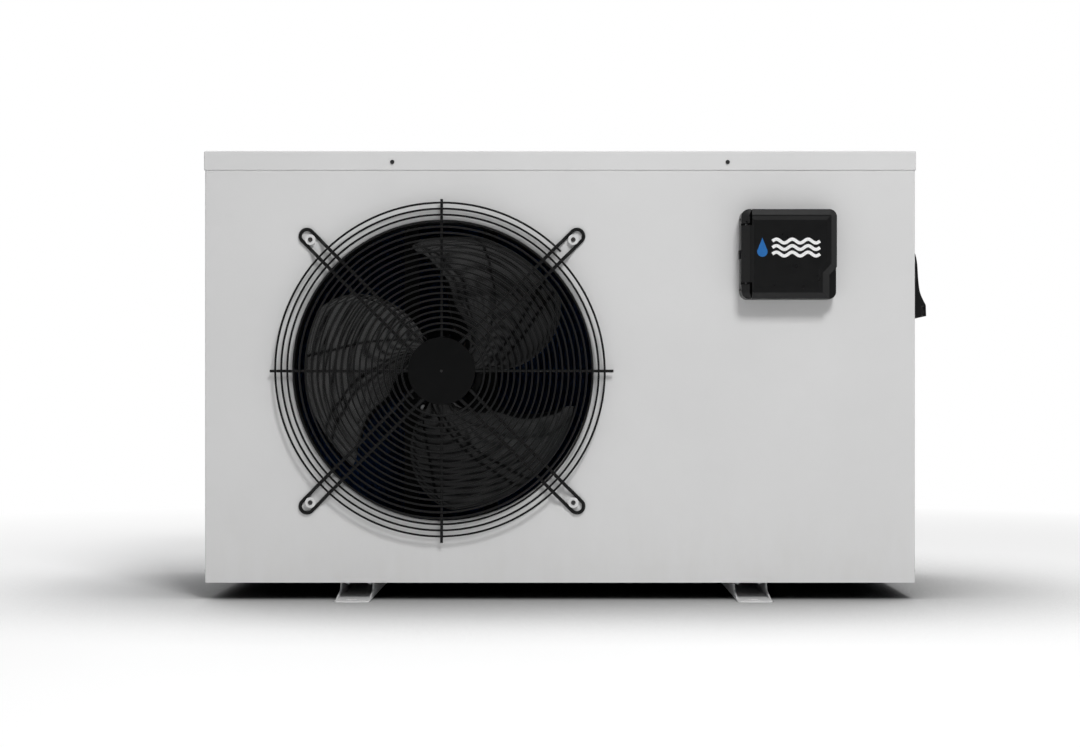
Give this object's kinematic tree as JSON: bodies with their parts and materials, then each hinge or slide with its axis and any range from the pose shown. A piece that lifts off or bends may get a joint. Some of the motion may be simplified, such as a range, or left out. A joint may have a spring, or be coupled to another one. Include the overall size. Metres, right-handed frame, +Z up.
{
  "type": "pool heat pump",
  "caption": "Side-discharge air-source heat pump for pool water: sheet-metal cabinet, spiral wire fan guard, flip-cover controller, rear water unions.",
  "frame": {"origin": "on the ground at the centre of the anchor slots of the foot rails", "axes": "+Z up, -Y out of the front (air outlet) face, +X to the right when facing the front"},
  "size_m": [1.035, 0.53, 0.632],
  "materials": {
    "cabinet_paint": "satin light grey powder coat",
    "black_plastic": "fine moulded grain",
    "guard_coating": "black plastic-coated wire",
    "fan_plastic": "dark grey glass-filled nylon",
    "galvanised": "zinc spangle",
    "fin_coating": "blue hydrophilic coating",
    "copper": "drawn copper",
    "vessel_paint": "black enamel",
    "pvc": "grey pvc",
    "pvc_white": "white pvc",
    "rubber": "black",
    "screw_black": "black zinc",
    "zinc": "zinc plated",
    "motor_steel": "rolled steel",
    "circuit": "solder mask",
    "terminal_plastic": "moulded",
    "display_window": "smoked",
    "button_plastic": "grey keys",
    "gauge_metal": "polished",
    "gauge_glass": "clear",
    "needle_paint": "red",
    "brass_fitting": "turned"
  },
  "bodies": {
    "cabinet": {"accumulator": "vessel_paint", "base_pan": "galvanised", "cable_glands": "black_plastic", "circuit_board": "circuit", "coil_guards": "guard_coating", "coil_tube_sheets": "galvanised", "compressor": "vessel_paint", "compressor_bolts": "zinc", "compressor_grommets": "rubber", "controller_base": "black_plastic", "controller_board": "circuit", "cover_hinge_pins": "zinc", "display_lens": "display_window", "drain_spout": "black_plastic", "electrical_box": "galvanised", "electrical_box_lid": "galvanised", "evaporator_fins": "fin_coating", "expansion_valve": "brass_fitting", "fan_motor": "motor_steel", "filter_drier": "copper", "four_way_valve": "brass_fitting", "front_panel": "cabinet_paint", "gauge_case": "gauge_metal", "gauge_lens": "gauge_glass", "guard_arms": "guard_coating", "guard_disc": "guard_coating", "guard_screws": "screw_black", "guard_spacers": "cabinet_paint", "guard_spiral": "guard_coating", "heat_exchanger": "pvc_white", "left_foot_rail": "cabinet_paint", "motor_bolts": "zinc", "motor_bracket": "vessel_paint", "panel_screws": "screw_black", "partition_panel": "galvanised", "rail_bolts": "zinc", "rear_corner_post": "cabinet_paint", "rear_service_panel": "cabinet_paint", "refrigerant_pipes": "copper", "return_bends": "copper", "right_foot_rail": "cabinet_paint", "right_side_panel": "cabinet_paint", "service_valves": "brass_fitting", "side_handle": "black_plastic", "terminal_block": "terminal_plastic", "terminal_cover": "black_plastic", "top_lid": "cabinet_paint", "union_o_rings": "rubber", "union_tailpieces": "pvc"},
    "fan_rotor": {"fan": "fan_plastic", "motor_shaft": "zinc", "fan_nut": "zinc"},
    "flip_cover": {"controller_cover": "black_plastic"},
    "power_key": {"button_power": "button_plastic"},
    "mode_key": {"button_mode": "button_plastic"},
    "down_key": {"button_down": "button_plastic"},
    "up_key": {"button_up": "button_plastic"},
    "inlet_nut": {"inlet_union_nut": "pvc"},
    "outlet_nut": {"outlet_union_nut": "pvc"},
    "gauge_pointer": {"gauge_needle": "needle_paint"}
  },
  "joints": [
    {"name": "fan_spin", "type": "hinge", "parent": "cabinet", "child": "fan_rotor", "pos_m": [-0.157, -0.12, 0.3218], "axis": [0, -1, 0], "continuous": true},
    {"name": "cover_hinge", "type": "hinge", "parent": "cabinet", "child": "flip_cover", "pos_m": [0.2685, -0.2381, 0.4845], "axis": [0, 0, -1], "range_deg": [0, 120]},
    {"name": "power_press", "type": "slide", "parent": "cabinet", "child": "power_key", "axis": [0, 1, 0], "range_m": [0, 0.001]},
    {"name": "mode_press", "type": "slide", "parent": "cabinet", "child": "mode_key", "axis": [0, 1, 0], "range_m": [0, 0.001]},
    {"name": "down_press", "type": "slide", "parent": "cabinet", "child": "down_key", "axis": [0, 1, 0], "range_m": [0, 0.001]},
    {"name": "up_press", "type": "slide", "parent": "cabinet", "child": "up_key", "axis": [0, 1, 0], "range_m": [0, 0.001]},
    {"name": "inlet_nut_turn", "type": "hinge", "parent": "cabinet", "child": "inlet_nut", "pos_m": [0.4, 0.235, 0.13], "axis": [0, 1, 0], "continuous": true},
    {"name": "outlet_nut_turn", "type": "hinge", "parent": "cabinet", "child": "outlet_nut", "pos_m": [0.4, 0.235, 0.39], "axis": [0, 1, 0], "continuous": true},
    {"name": "pointer_swing", "type": "hinge", "parent": "cabinet", "child": "gauge_pointer", "pos_m": [0.18, 0.21, 0.52], "axis": [0, -1, 0], "range_deg": [0, 270]}
  ]
}
